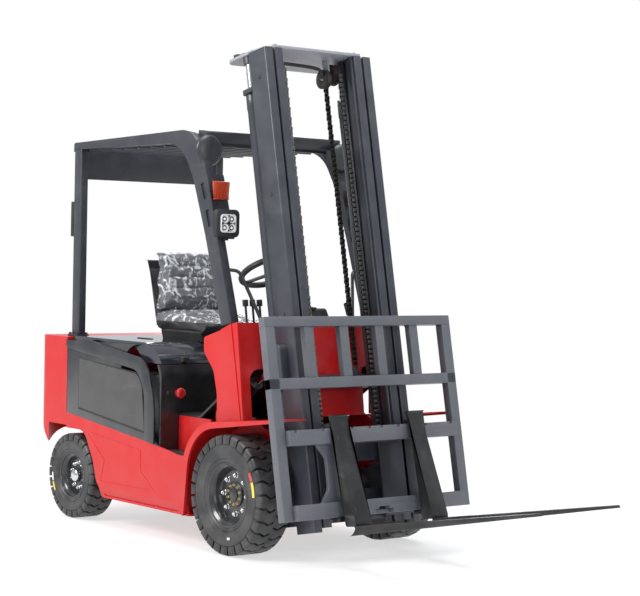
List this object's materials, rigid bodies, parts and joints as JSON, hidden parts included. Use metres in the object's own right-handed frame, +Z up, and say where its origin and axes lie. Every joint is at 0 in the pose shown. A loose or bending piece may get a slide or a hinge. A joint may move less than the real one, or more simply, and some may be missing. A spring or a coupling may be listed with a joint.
{
  "type": "electric counterbalance forklift",
  "caption": "Electric counterbalance forklift with a two-stage mast, load backrest and forks, an overhead guard, a hood that carries the seat, and a cast counterweight.",
  "frame": {"origin": "on the ground, at the middle of the overall length and width", "axes": "+X forward along the forks, +Y to the driver's left, +Z up"},
  "size_m": [3.6558, 1.2, 2.5398],
  "materials": {
    "red_paint": "gloss paint",
    "guard_grey": "satin paint",
    "mast_grey": "satin paint",
    "fork_grey": "worn paint",
    "frame_black": "satin paint",
    "black_plastic": "moulded",
    "hood_black": "high gloss",
    "cover_grey": "moulded",
    "band_black": "gloss",
    "seat_cloth": "pleated",
    "tyre_black": "solid rubber",
    "rim_black": "gloss paint",
    "chain_steel": "oiled",
    "rod_chrome": "polished",
    "battery_case": "plain",
    "lamp_glass": "clear",
    "signal_orange": "clear",
    "mirror_glass": "gloss",
    "stop_red": "gloss",
    "axle_iron": "painted"
  },
  "bodies": {
    "chassis": {"battery": "battery_case", "chassis_frame": "red_paint", "control_levers": "black_plastic", "counterweight": "red_paint", "cover_bands": "band_black", "cowl": "red_paint", "dash": "black_plastic", "drive_axle": "axle_iron", "floor_plate": "frame_black", "front_cover": "band_black", "grab_handles": "frame_black", "lamp_brackets": "guard_grey", "mirrors": "mirror_glass", "overhead_guard": "guard_grey", "pedals": "black_plastic", "side_covers": "cover_grey", "signal_lamps": "signal_orange", "steer_axle": "axle_iron", "stop_button": "stop_red", "tow_pin": "chain_steel", "work_lamps": "lamp_glass"},
    "hood": {"hood": "hood_black", "hood_latch": "band_black", "seat_base": "black_plastic", "seat_cushion": "seat_cloth", "seat_back": "seat_cloth"},
    "outer_mast": {"outer_mast": "mast_grey", "lift_barrels": "mast_grey"},
    "inner_mast": {"inner_mast": "mast_grey", "lift_rods": "rod_chrome", "chain_sheaves": "rod_chrome", "lift_chains": "chain_steel"},
    "carriage": {"carriage": "mast_grey", "load_backrest": "mast_grey", "forks": "fork_grey", "fork_pins": "fork_grey"},
    "tilt_barrel_left": {"tilt_barrel_left": "mast_grey"},
    "tilt_barrel_right": {"tilt_barrel_right": "mast_grey"},
    "tilt_rod_left": {"tilt_rod_left": "rod_chrome"},
    "tilt_rod_right": {"tilt_rod_right": "rod_chrome"},
    "front_wheel_left": {"front_tyre_left": "tyre_black", "front_wheel_left": "rim_black"},
    "front_wheel_right": {"front_tyre_right": "tyre_black", "front_wheel_right": "rim_black"},
    "rear_wheel_left": {"rear_tyre_left": "tyre_black", "rear_wheel_left": "rim_black"},
    "rear_wheel_right": {"rear_tyre_right": "tyre_black", "rear_wheel_right": "rim_black"},
    "knuckle_left": {"knuckle_left": "axle_iron"},
    "knuckle_right": {"knuckle_right": "axle_iron"},
    "steering_wheel": {"steering_wheel": "black_plastic"}
  },
  "joints": [
    {"name": "mast_tilt", "type": "hinge", "parent": "chassis", "child": "outer_mast", "pos_m": [0.02192, 0, 0.299], "axis": [0, 1, 0], "range_deg": [-0.6, 17.4]},
    {"name": "mast_lift", "type": "slide", "parent": "outer_mast", "child": "inner_mast", "axis": [-0.1977, 0, 0.9803], "range_m": [0, 1.8]},
    {"name": "carriage_lift", "type": "slide", "parent": "inner_mast", "child": "carriage", "axis": [-0.1977, 0, 0.9803], "range_m": [0, 1.8]},
    {"name": "hood_hinge", "type": "hinge", "parent": "chassis", "child": "hood", "pos_m": [-1.49958, 0, 0.9975], "axis": [0, -1, 0], "range_deg": [0, 50]},
    {"name": "tilt_barrel_left_pivot", "type": "hinge", "parent": "chassis", "child": "tilt_barrel_left", "pos_m": [-0.27808, 0.372, 0.66], "axis": [0, 1, 0], "range_deg": [-0.53, 14.75]},
    {"name": "tilt_rod_left_slide", "type": "slide", "parent": "tilt_barrel_left", "child": "tilt_rod_left", "axis": [0.8283, 0, 0.5603], "range_m": [-0.0053, 0.14021]},
    {"name": "tilt_barrel_right_pivot", "type": "hinge", "parent": "chassis", "child": "tilt_barrel_right", "pos_m": [-0.27808, -0.372, 0.66], "axis": [0, 1, 0], "range_deg": [-0.53, 14.75]},
    {"name": "tilt_rod_right_slide", "type": "slide", "parent": "tilt_barrel_right", "child": "tilt_rod_right", "axis": [0.8283, 0, 0.5603], "range_m": [-0.0053, 0.14021]},
    {"name": "front_wheel_left_spin", "type": "hinge", "parent": "chassis", "child": "front_wheel_left", "pos_m": [0.02192, 0.4795, 0.299], "axis": [0, 1, 0], "continuous": true},
    {"name": "knuckle_left_steer", "type": "hinge", "parent": "chassis", "child": "knuckle_left", "pos_m": [-1.44808, 0.37, 0.235], "axis": [0, 0, 1], "range_deg": [-65, 65]},
    {"name": "rear_wheel_left_spin", "type": "hinge", "parent": "knuckle_left", "child": "rear_wheel_left", "pos_m": [-1.44808, 0.487, 0.235], "axis": [0, 1, 0], "continuous": true},
    {"name": "front_wheel_right_spin", "type": "hinge", "parent": "chassis", "child": "front_wheel_right", "pos_m": [0.02192, -0.4795, 0.299], "axis": [0, 1, 0], "continuous": true},
    {"name": "knuckle_right_steer", "type": "hinge", "parent": "chassis", "child": "knuckle_right", "pos_m": [-1.44808, -0.37, 0.235], "axis": [0, 0, 1], "range_deg": [-65, 65]},
    {"name": "rear_wheel_right_spin", "type": "hinge", "parent": "knuckle_right", "child": "rear_wheel_right", "pos_m": [-1.44808, -0.487, 0.235], "axis": [0, 1, 0], "continuous": true},
    {"name": "steering_wheel_turn", "type": "hinge", "parent": "chassis", "child": "steering_wheel", "pos_m": [-0.37808, 0, 1.4], "axis": [-0.4695, 0, 0.8829], "continuous": true}
  ],
  "couplings": [
    {"joint": "carriage_lift", "follows": "mast_lift", "ratio": 1},
    {"joint": "tilt_barrel_left_pivot", "follows": "mast_tilt", "ratio": 0.842},
    {"joint": "tilt_rod_left_slide", "follows": "mast_tilt", "m_per_rad": 0.4584},
    {"joint": "tilt_barrel_right_pivot", "follows": "mast_tilt", "ratio": 0.842},
    {"joint": "tilt_rod_right_slide", "follows": "mast_tilt", "m_per_rad": 0.4584},
    {"joint": "knuckle_left_steer", "follows": "knuckle_right_steer", "ratio": 1}
  ]
}
